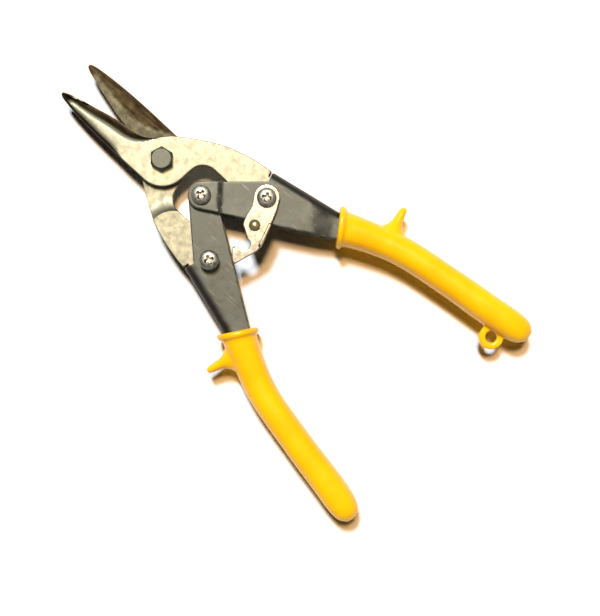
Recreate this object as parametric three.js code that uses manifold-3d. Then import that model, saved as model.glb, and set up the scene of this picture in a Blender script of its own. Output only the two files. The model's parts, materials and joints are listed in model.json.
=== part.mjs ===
// Aviation snips: two forged blades crossing on a hex bolt, driven through a compound linkage by two
// stamped steel handles with soft grips. Millimetres, +Z up. The tool lies flat and open: the origin is on
// the blade pivot's axis at the flat end of its bolt, +Y points the way the jaws cut, +X is to the right.
import * as THREE from "three";
import { mergeVertices } from "three/addons/utils/BufferGeometryUtils.js";
import Module from "manifold-3d";

const wasm = await Module();
wasm.setup();

// ---- driving dimensions ----
const degrees = THREE.MathUtils.degToRad;
const BLADE_LINK = 53.5; // blade pivot to tang pivot
const HANDLE_LINK = 31; // tang pivot to centre pivot
const OPEN_HALF_ANGLE = degrees(22); // half the angle between the two tangs, jaws open
const CLOSED_HALF_ANGLE = degrees(13.25); // the same, jaws closed
const SHEAR_Z = 13.2; // height of the plane in which the blades slide past each other

// heights above or below the shear plane
const GAP = 0.3;
const BLADE_HALF = 4.2; // each blade is this thick at its lap, and a tang reaches this far both ways
const SHEET = 1.9; // thickness of the handles' steel
const LEFT_WALL = BLADE_HALF + GAP; // inner face of the left handle's walls
const RIGHT_WALL = LEFT_WALL + SHEET + GAP; // inner face of the right handle's walls, outside the left's
const EAR_LIFT = 1.4; // the right handle's ears step out by this much
const LATCH_LOW = RIGHT_WALL + SHEET + 0.8;
const LATCH_SHEET = 1.5;
const FIT = 0.2; // play between parts stacked on a pivot
const SCREW_SEAT = LATCH_LOW + LATCH_SHEET + FIT; // under the heads of both tang screws

const SHANK_R = 2.6;
const HOLE_R = SHANK_R + GAP;
const LOOSE_HOLE_R = SHANK_R + 0.45; // the left tang's hole takes the small play of the linkage
const HEAD_R = 4.65;
const HEAD_H = 2.3;
const BOLT_R = 3.5;
const BOLT_PLAY = 0.5; // round the bolt, in the blade that it doesn't turn with

const HUB_R = 13;
const TANG_END_R = 9.5;
const EAR_R = 6.5;
const TAIL_LEAN = { right: degrees(1.1), left: degrees(1.8) }; // how far each tail leans to the left
const THROUGH = 20; // a cut from this far below the shear plane to this far above goes right through

// ---- pivots, jaws open ----
const onSide = (side, x, y) => new THREE.Vector2(side * x, y);
const tangPivot = (side) =>
  onSide(side, BLADE_LINK * Math.sin(OPEN_HALF_ANGLE), -BLADE_LINK * Math.cos(OPEN_HALF_ANGLE));
const openHandleAngle = Math.asin((BLADE_LINK / HANDLE_LINK) * Math.sin(OPEN_HALF_ANGLE));
const closedHandleAngle = Math.asin((BLADE_LINK / HANDLE_LINK) * Math.sin(CLOSED_HALF_ANGLE));
const RIGHT_PIVOT = tangPivot(1);
const LEFT_PIVOT = tangPivot(-1);
const CENTRE_PIVOT = new THREE.Vector2(0, RIGHT_PIVOT.y + HANDLE_LINK * Math.cos(openHandleAngle));
const BLADE_PIVOT = new THREE.Vector2(0, 0);
// where the left tang screw stands when the handles are squeezed shut and the right one has not moved
const squeeze = 2 * (openHandleAngle - closedHandleAngle);
const CAUGHT_SCREW = LEFT_PIVOT.clone().rotateAround(CENTRE_PIVOT, squeeze);

// ---- solids ----
const solids = {
  of(geometry) {
    const bare = geometry.clone();
    bare.deleteAttribute("normal");
    bare.deleteAttribute("uv");
    const merged = mergeVertices(bare, 1e-4);
    const count = merged.attributes.position.count;
    const index = merged.index ?? { array: Array.from({ length: count }, (_, i) => i) };
    return new wasm.Manifold(
      new wasm.Mesh({
        numProp: 3,
        vertProperties: new Float32Array(merged.attributes.position.array),
        triVerts: new Uint32Array(index.array),
      }),
    );
  },
  toGeometry(solid) {
    const { vertProperties, triVerts } = solid.getMesh();
    const geometry = new THREE.BufferGeometry();
    geometry.setAttribute("position", new THREE.BufferAttribute(vertProperties, 3));
    geometry.setIndex(new THREE.BufferAttribute(triVerts, 1));
    geometry.computeVertexNormals();
    return geometry;
  },
};

// A flat outline, as points, raised from one height to another.
function prism(points, low, high) {
  const shape = new THREE.Shape(points);
  const geometry = new THREE.ExtrudeGeometry(shape, { depth: high - low, bevelEnabled: false });
  return solids.of(geometry.translate(0, 0, SHEAR_Z + low));
}

// A profile of [radius, height] pairs turned about a vertical axis through a point.
function turned(profile, centre, segments = 32) {
  const points = profile.map(([r, z]) => new THREE.Vector2(r, z));
  const geometry = new THREE.LatheGeometry(points, segments);
  return solids.of(geometry.rotateX(Math.PI / 2).translate(centre.x, centre.y, SHEAR_Z));
}

const disc = (centre, radius, low, high, segments = 32) =>
  turned([[0, low], [radius, low], [radius, high], [0, high]], centre, segments);

const ring = (centre, inner, outer, low, high, segments = 32) =>
  turned([[inner, low], [outer, low], [outer, high], [inner, high], [inner, low]], centre, segments);

function box(width, depth, height, centre, turn, low) {
  const geometry = new THREE.BoxGeometry(width, depth, height);
  geometry.rotateZ(turn).translate(centre.x, centre.y, SHEAR_Z + low + height / 2);
  return solids.of(geometry);
}

// Sections of equally many points, each a closed loop in space, joined in order and capped at both ends.
function loft(sections) {
  const sides = sections[0].length;
  const positions = sections.flat().flatMap((p) => [p.x, p.y, p.z]);
  const index = [];
  for (let s = 0; s + 1 < sections.length; s++)
    for (let i = 0; i < sides; i++) {
      const a = s * sides + i;
      const b = s * sides + ((i + 1) % sides);
      index.push(a, b, b + sides, a, b + sides, a + sides);
    }
  const last = (sections.length - 1) * sides;
  for (let i = 1; i + 1 < sides; i++) {
    index.push(0, i + 1, i);
    index.push(last, last + i, last + i + 1);
  }
  const geometry = new THREE.BufferGeometry();
  geometry.setAttribute("position", new THREE.Float32BufferAttribute(positions, 3));
  geometry.setIndex(index);
  const solid = solids.of(geometry);
  return solid.volume() < 0 ? solids.of(flipped(geometry)) : solid;
}

function flipped(geometry) {
  const turnedRound = geometry.clone();
  const index = turnedRound.index.array;
  for (let i = 0; i < index.length; i += 3) [index[i + 1], index[i + 2]] = [index[i + 2], index[i + 1]];
  return turnedRound;
}

// ---- outlines ----
const points = (side, pairs) => pairs.map(([x, y]) => onSide(side, x, y));

function smooth(side, pairs, steps) {
  const curve = new THREE.SplineCurve(points(side, pairs));
  return curve.getPoints(steps);
}

// An arc's points, its angles given for the right-hand side and mirrored for the left.
function arc(side, centre, radius, from, to, steps) {
  return Array.from({ length: steps + 1 }, (_, i) => {
    const angle = degrees(from + ((to - from) * i) / steps);
    const across = side * radius * Math.cos(angle);
    return new THREE.Vector2(centre.x + across, centre.y + radius * Math.sin(angle));
  });
}

// ---- blades ----
// The blade whose tang goes to one side has its jaw on the other. `side` is the tang's side.
const JAW_ROOT_Y = 9;
const jawStations = [
  // y, cutting edge, ridge of the bevel, spine: how far each lies towards the tang's side
  [57.6, -8.9, -9.6, -10.0],
  [54.5, -7.0, -10.2, -11.3],
  [49.5, -5.0, -9.6, -12.0],
  [42, -3.0, -8.6, -12.6],
  [34, -1.1, -7.2, -13.0],
  [26, 0.1, -5.8, -13.1],
  [19, 0.8, -4.6, -13.1],
  [14, 2.2, -1.2, -13.0],
  [JAW_ROOT_Y, 6.0, 5.6, -13.0],
];
const EDGE_LAND = 1.1; // height of the cutting edge's own face

// The jaw is flat on the shear plane, bevelled up to a ridge and level from there to its spine.
function jaw(side) {
  const up = side; // the right tang's blade lies above the shear plane
  return loft(
    jawStations.map(([y, edge, ridge, spine]) => {
      const at = (x, h) => new THREE.Vector3(side * x, y, SHEAR_Z + up * h);
      const low = GAP / 2;
      const face = [at(ridge, BLADE_HALF), at(spine, BLADE_HALF)];
      return [at(edge, low), at(edge, EDGE_LAND), ...face, at(spine, low)];
    }),
  );
}

// The tang's inner edge, from the hub down to the eye.
const crotch = [[-0.8, -13.1], [6.9, -13.9], [10.6, -15.9], [12.7, -19.4], [13.1, -24.5], [13, -29]];

function bladeOutline(side) {
  const pivot = tangPivot(side);
  return [
    ...points(side, [[4.4, JAW_ROOT_Y + 2], [-13, JAW_ROOT_Y + 2]]),
    ...arc(side, BLADE_PIVOT, HUB_R, 175, 262, 10),
    ...smooth(side, crotch, 12),
    ...arc(side, pivot, TANG_END_R, 163, 375, 16),
    ...points(side, [[28.4, -42.9], [31, -42.3]]),
    ...smooth(side, [[30.6, -38.5], [27.9, -26.3], [21.8, -11.7], [11.6, 3.3]], 14),
  ];
}

// The tang's other half, beyond a cone round the pivot that the crossing blade turns inside.
function tangThickening(side) {
  const up = side;
  const nearR = 19.5;
  const farR = 25.5;
  const beyond = -up * (BLADE_HALF + 1);
  const clear = [[0, up * GAP], [nearR, up * GAP], [farR, beyond], [0, beyond]];
  const lowAndHigh = [-up * BLADE_HALF, up * 1].sort((a, b) => a - b);
  const cone = turned(up > 0 ? [...clear].reverse() : clear, BLADE_PIVOT, 40);
  const tangOnly = box(60, 60, 2 * THROUGH, onSide(side, 34, -40), 0, -THROUGH);
  return prism(bladeOutline(side), ...lowAndHigh).subtract(cone).intersect(tangOnly);
}

function blade(side) {
  const lap = [side * (GAP / 2), side * BLADE_HALF].sort((a, b) => a - b);
  return prism(bladeOutline(side), ...lap)
    .add(jaw(side))
    .add(tangThickening(side))
    .subtract(disc(BLADE_PIVOT, BOLT_R + (side > 0 ? GAP : BOLT_PLAY), -THROUGH, THROUGH))
    .subtract(disc(tangPivot(side), side > 0 ? HOLE_R : LOOSE_HOLE_R, -THROUGH, THROUGH));
}

// ---- handles ----
const COLLAR = [34.4, -82.7]; // where the grip starts, on the handle's centreline
const gripAxis = [COLLAR, [41.7, -98.4], [47.7, -115.4], [52.6, -142], [56.1, -165], [59.8, -185]];
const TAIL_END = 0.86; // share of the grip's axis that the steel tail reaches

// The grip's centreline in plan, leaning with its tail.
function axisCurve(side) {
  const lean = side > 0 ? TAIL_LEAN.right : TAIL_LEAN.left;
  const leaning = points(side, gripAxis).map((p) => p.rotateAround(CENTRE_PIVOT, -lean));
  return new THREE.SplineCurve(leaning);
}

// Points beside the grip's axis, at a distance to the tool's outer (+) or inner (-) side of it.
function beside(side, distanceAt, from, to, steps) {
  const curve = axisCurve(side);
  return Array.from({ length: steps + 1 }, (_, i) => {
    const share = from + ((to - from) * i) / steps;
    const along = curve.getTangentAt(share);
    const outward = new THREE.Vector2(-along.y, along.x).multiplyScalar(side);
    return curve.getPointAt(share).addScaledVector(outward, distanceAt(share));
  });
}

// Measured from the centre pivot: where the right handle's ears step out, and where it narrows.
const JOGGLE = { from: 8, to: 9.6 };
const STEP_IN = { from: 57, to: 63 };
const tailHalfWidth = (share) => THREE.MathUtils.lerp(6.3, 4.3, Math.min(1, share / 0.22));
const shoulder = [[29.6, -43.6], [31.4, -43.2]]; // where the web starts, by the tang pivot
const towardsTang = new THREE.Vector2().subVectors(RIGHT_PIVOT, CENTRE_PIVOT).normalize();

function handleOutline(side, inset = 0) {
  const outer = beside(side, (s) => tailHalfWidth(s) - inset, 0, TAIL_END, 12);
  const inner = beside(side, (s) => -tailHalfWidth(s), 0, TAIL_END, 12).reverse();
  return { outer, inner };
}

function wallOutline(side) {
  const { outer, inner } = handleOutline(side);
  return [
    ...inner,
    ...arc(side, CENTRE_PIVOT, EAR_R, 213, 42, 14),
    ...points(side, [[26.4, -44.9], ...shoulder]),
    ...outer,
  ];
}

// The web runs down the outer edge from the tang's shoulder to the end of the tail.
function webOutline(side) {
  const { outer } = handleOutline(side);
  const within = handleOutline(side, SHEET).outer.reverse();
  return [...points(side, shoulder), ...outer, ...within];
}

// Along the line through a handle's pivots, past both ends of its outline.
const WALL_REACH = { back: -12, on: 190 };

// A wall seen edge on: heights of its two faces along the line through both of the handle's pivots.
function wallProfile(side) {
  const low = side > 0 ? RIGHT_WALL : LEFT_WALL;
  const stepOut = side > 0 ? EAR_LIFT : 0;
  const stepIn = side > 0 ? RIGHT_WALL - LEFT_WALL : 0;
  const inner = [
    [WALL_REACH.back, low + stepOut],
    [JOGGLE.from, low + stepOut],
    [JOGGLE.to, low],
    [STEP_IN.from, low],
    [STEP_IN.to, low - stepIn],
    [WALL_REACH.on, low - stepIn],
  ];
  const outer = inner.map(([t, z]) => [t, z + SHEET]).reverse();
  return [...inner, ...outer];
}

function wall(side, up) {
  const profile = new THREE.Shape(wallProfile(side).map(([t, z]) => new THREE.Vector2(t, z)));
  const width = 160;
  const geometry = new THREE.ExtrudeGeometry(profile, { depth: width, bevelEnabled: false });
  geometry.translate(0, 0, -width / 2).rotateX(Math.PI / 2);
  geometry.rotateZ(towardsTang.angle()).translate(CENTRE_PIVOT.x, CENTRE_PIVOT.y, 0);
  let strip = solids.of(geometry);
  if (side < 0) strip = strip.mirror([1, 0, 0]);
  if (up < 0) strip = strip.mirror([0, 0, 1]);
  return strip.translate([0, 0, SHEAR_Z]).intersect(prism(wallOutline(side), -THROUGH, THROUGH));
}

// The web is as tall as the walls are apart, and steps in with them inside the grip.
function web(side) {
  const full = (side > 0 ? RIGHT_WALL : LEFT_WALL) + SHEET;
  const tail = LEFT_WALL + SHEET;
  const whole = prism(webOutline(side), -full, full);
  if (side < 0) return whole;
  const block = 200;
  const centre = CENTRE_PIVOT.clone().addScaledVector(towardsTang, STEP_IN.to - 1 + block / 2);
  const beyond = (low) => box(block, block, THROUGH, centre, towardsTang.angle(), low);
  return whole.subtract(beyond(tail)).subtract(beyond(-tail - THROUGH));
}

function handle(side) {
  return wall(side, 1)
    .add(wall(side, -1))
    .add(web(side))
    .subtract(disc(tangPivot(side), HOLE_R, -THROUGH, THROUGH, 24))
    .subtract(disc(CENTRE_PIVOT, HOLE_R, -THROUGH, THROUGH, 24));
}

// ---- grips ----
const COLLAR_HALF = { wide: 10.2, thick: SHEAR_Z };
const gripSections = [
  // share of the axis, half width, half thickness
  [0, COLLAR_HALF.wide, COLLAR_HALF.thick],
  [0.022, COLLAR_HALF.wide, COLLAR_HALF.thick],
  [0.032, 8.3, 11.2],
  [0.12, 7.7, 10.6],
  [0.22, 7.3, 10],
  [0.38, 7.1, 9.7],
  [0.55, 7.1, 9.6],
  [0.72, 7.3, 9.7],
  [0.86, 7.4, 9.6],
  [0.93, 6.9, 9],
  [0.975, 5.5, 7.2],
  [1, 2.6, 3.6],
];

// The collar faces the handle's steel, which meets the bent grip at an angle.
const COLLAR_TURN = { right: degrees(12), left: degrees(-9), fades: 0.13 };

function gripSection(side, curve, share, wide, thick) {
  const corners = 20;
  const squareness = 2.6; // exponent of the rounded section
  const centre = curve.getPointAt(share);
  const tangent = curve.getTangentAt(share);
  const fading = Math.max(0, 1 - share / COLLAR_TURN.fades);
  const turn = (side > 0 ? COLLAR_TURN.right : COLLAR_TURN.left) * fading;
  const across = new THREE.Vector2(-tangent.y, tangent.x).rotateAround(new THREE.Vector2(), turn);
  const highest = Math.cos(Math.PI / corners); // the corners beside the top lie below it by this factor
  return Array.from({ length: corners }, (_, i) => {
    const angle = (2 * Math.PI * (i + 0.5)) / corners;
    const [c, s] = [Math.cos(angle), Math.sin(angle)];
    const reach = (Math.abs(c) ** squareness + Math.abs(s) ** squareness) ** (-1 / squareness);
    const flat = centre.clone().addScaledVector(across, wide * reach * c);
    const height = THREE.MathUtils.clamp((thick * reach * s) / highest, -thick, thick);
    return new THREE.Vector3(flat.x, flat.y, SHEAR_Z + height);
  });
}

// Finger guards: tapering horns on the grips' outer sides. `back` is how far the tip leans to the tail.
const guards = {
  right: { share: 0.23, reach: 19.5, back: 1.8 },
  left: { share: 0.1, reach: 20, back: 2.4 },
};
const guardStations = [
  // share of its reach, half width, half thickness
  [0, 8, 7.2],
  [0.36, 6, 6.4],
  [0.5, 3.7, 5.6],
  [0.65, 2.6, 4.8],
  [0.95, 1.8, 3.2],
  [1, 1, 2],
];

function fingerGuard(side) {
  const { share, reach, back } = side > 0 ? guards.right : guards.left;
  const curve = axisCurve(side);
  const root = curve.getPointAt(share);
  const tangent = curve.getTangentAt(share);
  const outward = new THREE.Vector2(-tangent.y, tangent.x).multiplyScalar(side);
  const tip = outward.clone().multiplyScalar(reach).addScaledVector(tangent, back);
  const sides = 10;
  return loft(
    guardStations.map(([at, wide, thick]) => {
      const centre = root.clone().addScaledVector(tip, at);
      return Array.from({ length: sides }, (_, i) => {
        const angle = (2 * Math.PI * (i + 0.5)) / sides;
        const flat = centre.clone().addScaledVector(tangent, wide * Math.cos(angle));
        return new THREE.Vector3(flat.x, flat.y, SHEAR_Z + thick * Math.sin(angle));
      });
    }),
  );
}

// The hollow that the steel tail fills. It starts ahead of the collar, so that it opens the mouth.
function gripHollow(side) {
  const clearOf = (s) => tailHalfWidth(s) + GAP;
  const end = TAIL_END + 0.01;
  const outer = beside(side, clearOf, 0, end, 12);
  const inner = beside(side, (s) => -clearOf(s), 0, end, 12);
  const ahead = axisCurve(side).getTangentAt(0).multiplyScalar(-4);
  const mouth = [inner[0], outer[0]].map((corner) => corner.clone().add(ahead));
  const tail = LEFT_WALL + SHEET + GAP;
  return prism([...mouth, ...outer, ...inner.reverse()], -tail, tail);
}

// `half` is half its thickness, and `reach` how far its centre lies from the grip's axis.
const HANG_LOOP = { share: 0.862, inner: 2.95, outer: 5.5, half: 1.8, reach: 10.1 };

function hangLoop(side) {
  const curve = axisCurve(side);
  const tangent = curve.getTangentAt(HANG_LOOP.share);
  const inward = new THREE.Vector2(-tangent.y, tangent.x).multiplyScalar(-side);
  const centre = curve.getPointAt(HANG_LOOP.share).addScaledVector(inward, HANG_LOOP.reach);
  const { inner, outer, half } = HANG_LOOP;
  return ring(centre, inner, outer, -half, half, 24);
}

function grip(side) {
  const curve = axisCurve(side);
  const sections = gripSections.map(([share, ...size]) => gripSection(side, curve, share, ...size));
  let solid = loft(sections);
  solid = solid.add(fingerGuard(side));
  if (side > 0) solid = solid.add(hangLoop(side));
  return solid.subtract(gripHollow(side));
}

// ---- fasteners ----
const domedHead = (seat) => [
  [HEAD_R, seat],
  [HEAD_R, seat + 0.9],
  [HEAD_R * 0.86, seat + 1.7],
  [HEAD_R * 0.55, seat + HEAD_H - 0.12],
  [0, seat + HEAD_H],
];

const CROSS = { length: 5, width: 1.2, depth: 1.1 };

function crossHeadScrew(centre, seat, end, turn) {
  const chamfer = 0.4;
  const shank = [[0, end], [SHANK_R - chamfer, end], [SHANK_R, end + chamfer], [SHANK_R, seat]];
  const body = turned([...shank, ...domedHead(seat)], centre, 28);
  const floor = seat + HEAD_H - CROSS.depth;
  const slot = (angle) => box(CROSS.length, CROSS.width, 2, centre, turn + angle, floor);
  return body.subtract(slot(0)).subtract(slot(Math.PI / 2));
}

function hexagon(centre, acrossFlats, turn) {
  return Array.from({ length: 6 }, (_, i) => {
    const angle = turn + (i * Math.PI) / 3;
    const r = acrossFlats / Math.sqrt(3);
    return new THREE.Vector2(centre.x + r * Math.cos(angle), centre.y + r * Math.sin(angle));
  });
}

// A hexagon's corners are rounded off by a cone at each end that is free.
function hexBody(centre, acrossFlats, turn, low, high, bothEnds) {
  const r = acrossFlats / Math.sqrt(3);
  const trim = 0.9;
  const start = bothEnds ? [[0, low], [r - trim, low], [r, low + trim * 0.5]] : [[0, low], [r, low]];
  const cone = turned([...start, [r, high - trim * 0.5], [r - trim, high], [0, high]], centre, 24);
  return prism(hexagon(centre, acrossFlats, turn), low, high).intersect(cone);
}

function hexNut(centre, acrossFlats, boreR, low, high, turn) {
  const bore = disc(centre, boreR, low - 1, high + 1, 24);
  return hexBody(centre, acrossFlats, turn, low, high, true).subtract(bore);
}

const BOLT_FLATS = 10;
const BOLT_SEAT = BLADE_HALF + FIT;
const BOLT_HEAD_H = 4;
const BOLT_TURN = degrees(41);

function pivotBolt() {
  const end = -SHEAR_Z;
  const top = BOLT_SEAT + 1;
  const profile = [[0, end], [BOLT_R - 0.6, end], [BOLT_R, end + 0.7], [BOLT_R, top], [0, top]];
  const head = hexBody(BLADE_PIVOT, BOLT_FLATS, BOLT_TURN, BOLT_SEAT, BOLT_SEAT + BOLT_HEAD_H, false);
  return head.add(turned(profile, BLADE_PIVOT));
}

// ---- spring ----
const SPRING = { mean: 5.55, wire: 0.75, rise: 3.4, turns: 3, leg: 11.5, legAngle: degrees(22) };

class SpringPath extends THREE.Curve {
  // Down the right leg, round the coil and out along the left leg.
  getPoint(t, target = new THREE.Vector3()) {
    const { mean, rise, turns, leg, legAngle } = SPRING;
    const sweep = Math.PI - 2 * legAngle + 2 * Math.PI * turns;
    const coil = mean * sweep;
    const total = coil + 2 * leg;
    const run = t * total;
    const onCoil = THREE.MathUtils.clamp(run - leg, 0, coil);
    const angle = legAngle + onCoil / mean;
    const z = THREE.MathUtils.lerp(rise, -rise, onCoil / coil);
    const past = run < leg ? run - leg : Math.max(0, run - leg - coil);
    target.set(
      CENTRE_PIVOT.x + mean * Math.cos(angle) - past * Math.sin(angle),
      CENTRE_PIVOT.y + mean * Math.sin(angle) + past * Math.cos(angle),
      SHEAR_Z + z,
    );
    return target;
  }
}

function spring() {
  const section = new THREE.Shape().absarc(0, 0, SPRING.wire, 0, 2 * Math.PI);
  const extrudePath = new SpringPath();
  const geometry = new THREE.ExtrudeGeometry(section, { steps: 76, curveSegments: 4, extrudePath });
  const solid = solids.of(geometry);
  return solid.volume() < 0 ? solids.of(flipped(geometry)) : solid;
}

// ---- latch ----
// A plate on the right tang screw, notched to catch the left one, with a hook beyond the notch.
function latchOutline() {
  const { x, y } = CAUGHT_SCREW;
  const notchR = SHANK_R + GAP;
  const hookX = x - notchR;
  return [
    ...arc(1, RIGHT_PIVOT, 6.2, -58, 118, 16),
    ...points(1, [[11.6, -47.2], [5, -49], [3, -50.1]]),
    ...arc(1, CAUGHT_SCREW, notchR, 12, -168, 12),
    ...points(1, [[hookX - 0.2, y + 2.2], [hookX - 1.3, y + 3.1], [hookX - 2.4, y + 2.8]]),
    ...points(1, [[-13.5, -59], [-13, -59.6], [-1.6, -63.4], [1.5, -62.9]]),
  ];
}

// The thumb tab is bent up along the latch's outer edge.
function thumbTab() {
  const [from, to] = points(1, [[0.4, -62.9], [12.8, -59.1]]);
  const middle = from.clone().lerp(to, 0.5);
  const { x, y } = to.clone().sub(from);
  const [thick, tall] = [1.3, 4.4];
  return box(Math.hypot(x, y), thick, tall, middle, Math.atan2(y, x), LATCH_LOW);
}

// A dimple pressed up beside the tab gives the thumb its grip.
function dimple(top) {
  const centre = new THREE.Vector2(6.5, -54.3);
  const dome = [[2.7, 0], [2.1, 0.8], [1.1, 1.3], [0, 1.45]];
  return turned([[0, top - 0.5], [2.7, top - 0.5], ...dome.map(([r, h]) => [r, top + h])], centre, 20);
}

function latch() {
  const top = LATCH_LOW + LATCH_SHEET;
  return prism(latchOutline(), LATCH_LOW, top)
    .add(thumbTab())
    .add(dimple(top))
    .subtract(disc(RIGHT_PIVOT, HOLE_R, -THROUGH, THROUGH, 24));
}

// ---- finishes ----
const finish = (color, metalness, roughness) =>
  new THREE.MeshStandardMaterial({ color, metalness, roughness });
const forged = finish(0xb9ab8e, 1, 0.35);
const blackened = finish(0x55554f, 0.9, 0.45);
const plated = finish(0xe4dfcb, 1, 0.3);
const hardware = finish(0x8e8f88, 1, 0.35);
const springSteel = finish(0x6c6c66, 1, 0.4);
const softYellow = finish(0xf5b60c, 0, 0.4);

const snips = new THREE.Group();

function piece(name, solid, material) {
  const mesh = new THREE.Mesh(solids.toGeometry(solid), material);
  mesh.name = name;
  snips.add(mesh);
}

piece("top_blade", blade(1), forged);
piece("bottom_blade", blade(-1), forged);
piece("pivot_bolt", pivotBolt(), hardware);
const WASHER_REAR = -BOLT_SEAT - 1.2;
piece("pivot_washer", ring(BLADE_PIVOT, BOLT_R + GAP, 6.6, WASHER_REAR, -BOLT_SEAT), plated);
const NUT_FRONT = WASHER_REAR - FIT;
const pivotNut = hexNut(BLADE_PIVOT, BOLT_FLATS, BOLT_R + GAP, NUT_FRONT - 5, NUT_FRONT, BOLT_TURN);
piece("pivot_nut", pivotNut, hardware);

piece("right_handle", handle(1), blackened);
piece("left_handle", handle(-1), blackened);
piece("right_grip", grip(1), softYellow);
piece("left_grip", grip(-1), softYellow);

const NUT_H = 2.4;
const NUT_FLATS = 8;
const rightRear = -(RIGHT_WALL + SHEET + FIT);
const leftRear = -(LEFT_WALL + SHEET + FIT);
const centreSeat = RIGHT_WALL + EAR_LIFT + SHEET + FIT;
const stacks = [
  // name, centre, height under the head, height over the nut, turn of the cross
  ["right_tang", RIGHT_PIVOT, SCREW_SEAT, rightRear, degrees(30)],
  ["left_tang", LEFT_PIVOT, SCREW_SEAT, leftRear, degrees(62)],
  ["centre", CENTRE_PIVOT, centreSeat, -centreSeat, degrees(10)],
];
for (const [name, centre, seat, rear, turn] of stacks) {
  piece(`${name}_screw`, crossHeadScrew(centre, seat, rear - NUT_H - 0.3, turn), hardware);
  piece(`${name}_nut`, hexNut(centre, NUT_FLATS, HOLE_R, rear - NUT_H, rear, turn), hardware);
}

for (const [where, up] of [["front", 1], ["rear", -1]]) {
  const between = (near, far) => [up * near, up * far].sort((a, b) => a - b);
  const tangGap = between(BLADE_HALF + FIT, RIGHT_WALL - FIT);
  const earGap = between(LEFT_WALL + SHEET + FIT, RIGHT_WALL + EAR_LIFT - FIT);
  piece(`tang_spacer_${where}`, ring(RIGHT_PIVOT, HOLE_R, 6.6, ...tangGap, 28), plated);
  piece(`centre_washer_${where}`, ring(CENTRE_PIVOT, HOLE_R, 5.8, ...earGap, 28), plated);
}

piece("centre_sleeve", ring(CENTRE_PIVOT, HOLE_R, 4.1, FIT - LEFT_WALL, LEFT_WALL - FIT, 28), plated);
piece("spring", spring(), springSteel);
piece("latch", latch(), plated);
piece("latch_washer", ring(RIGHT_PIVOT, HOLE_R, 5.2, LATCH_LOW - 0.6, LATCH_LOW - FIT, 28), plated);

export default snips;
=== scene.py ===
"""Aviation snips lying open on a pale floor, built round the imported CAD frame. Lengths are in millimetres
until a mesh is made."""

import json
import math

import bmesh
import bpy
import numpy as np
from mathutils import Matrix, Vector, geometry


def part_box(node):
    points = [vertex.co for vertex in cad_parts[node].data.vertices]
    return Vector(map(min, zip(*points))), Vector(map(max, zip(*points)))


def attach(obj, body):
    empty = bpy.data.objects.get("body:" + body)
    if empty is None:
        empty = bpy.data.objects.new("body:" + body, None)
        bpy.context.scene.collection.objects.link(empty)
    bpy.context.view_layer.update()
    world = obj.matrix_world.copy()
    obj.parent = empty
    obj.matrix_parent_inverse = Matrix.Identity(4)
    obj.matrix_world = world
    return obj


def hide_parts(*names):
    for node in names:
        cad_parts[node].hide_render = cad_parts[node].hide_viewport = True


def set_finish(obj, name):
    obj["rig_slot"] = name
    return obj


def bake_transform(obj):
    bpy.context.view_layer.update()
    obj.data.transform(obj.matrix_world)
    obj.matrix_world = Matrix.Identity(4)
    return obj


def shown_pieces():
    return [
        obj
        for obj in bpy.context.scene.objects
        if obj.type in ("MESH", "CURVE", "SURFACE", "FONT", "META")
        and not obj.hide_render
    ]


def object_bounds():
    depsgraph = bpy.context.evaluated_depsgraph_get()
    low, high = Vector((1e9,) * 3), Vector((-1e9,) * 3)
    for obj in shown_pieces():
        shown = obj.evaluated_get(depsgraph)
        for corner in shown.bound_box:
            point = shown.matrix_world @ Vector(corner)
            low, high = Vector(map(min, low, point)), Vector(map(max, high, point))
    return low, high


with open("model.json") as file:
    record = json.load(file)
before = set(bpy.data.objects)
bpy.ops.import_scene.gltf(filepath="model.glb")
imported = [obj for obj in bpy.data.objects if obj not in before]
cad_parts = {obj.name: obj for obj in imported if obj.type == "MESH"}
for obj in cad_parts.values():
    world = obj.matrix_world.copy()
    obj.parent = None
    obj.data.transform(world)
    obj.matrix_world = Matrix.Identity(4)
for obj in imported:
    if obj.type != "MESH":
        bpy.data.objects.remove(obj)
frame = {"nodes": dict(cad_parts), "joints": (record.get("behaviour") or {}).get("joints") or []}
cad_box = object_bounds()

MM = 0.001

# ---- places, from the frame ----
joints = {joint["name"]: joint for joint in frame["joints"]}


def place(joint):
    return np.array(joints[joint]["pos_m"]) / MM


def span(node):
    """A node's lowest and highest corner, in millimetres."""
    return [np.array(corner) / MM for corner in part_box(node)]


SHEAR = place("blade_pivot")[2]
BLADE_PIVOT = place("blade_pivot")[:2]
RIGHT_PIVOT = place("right_tang_pivot")[:2]
LEFT_PIVOT = RIGHT_PIVOT * (-1, 1)
CENTRE_PIVOT = place("centre_pivot")[:2]
BLADE_HALF = span("top_blade")[1][2] - SHEAR
LAP_GAP = 0.15
SHEET = 1.9
PIN_HOLE_R = 2.9
BOLT_HOLE_R = 3.8
CREASE_MARGIN = 0.3  # no other point of a mesh lies this close to a crease


# ---- plane curves ----
def spline(points, count):
    """A smooth curve through the points, as count + 1 points evenly spaced along it."""
    p = np.array(points, float)
    spans = len(p) - 1
    t = np.linspace(0, spans, 24 * spans + 1)
    i = np.minimum(t.astype(int), spans - 1)
    w = (t - i)[:, None]
    a, b = p[np.maximum(i - 1, 0)], p[i]
    c, d = p[i + 1], p[np.minimum(i + 2, spans)]
    v, u = (c - a) / 2, (d - b) / 2
    fine = (2 * b - 2 * c + v + u) * w**3 + (-3 * b + 3 * c - 2 * v - u) * w**2 + v * w + b
    return resample(fine, count)


def resample(points, count):
    points = np.array(points, float)
    length = np.concatenate([[0], np.cumsum(np.linalg.norm(np.diff(points, axis=0), axis=1))])
    at = np.linspace(0, length[-1], count + 1)
    return np.stack([np.interp(at, length, points[:, k]) for k in range(points.shape[1])], axis=1)


def arc(centre, radius, start, end, steps=16):
    angles = np.radians(np.linspace(start, end, steps + 1))
    return np.stack([centre[0] + radius * np.cos(angles), centre[1] + radius * np.sin(angles)], axis=1)


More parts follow.
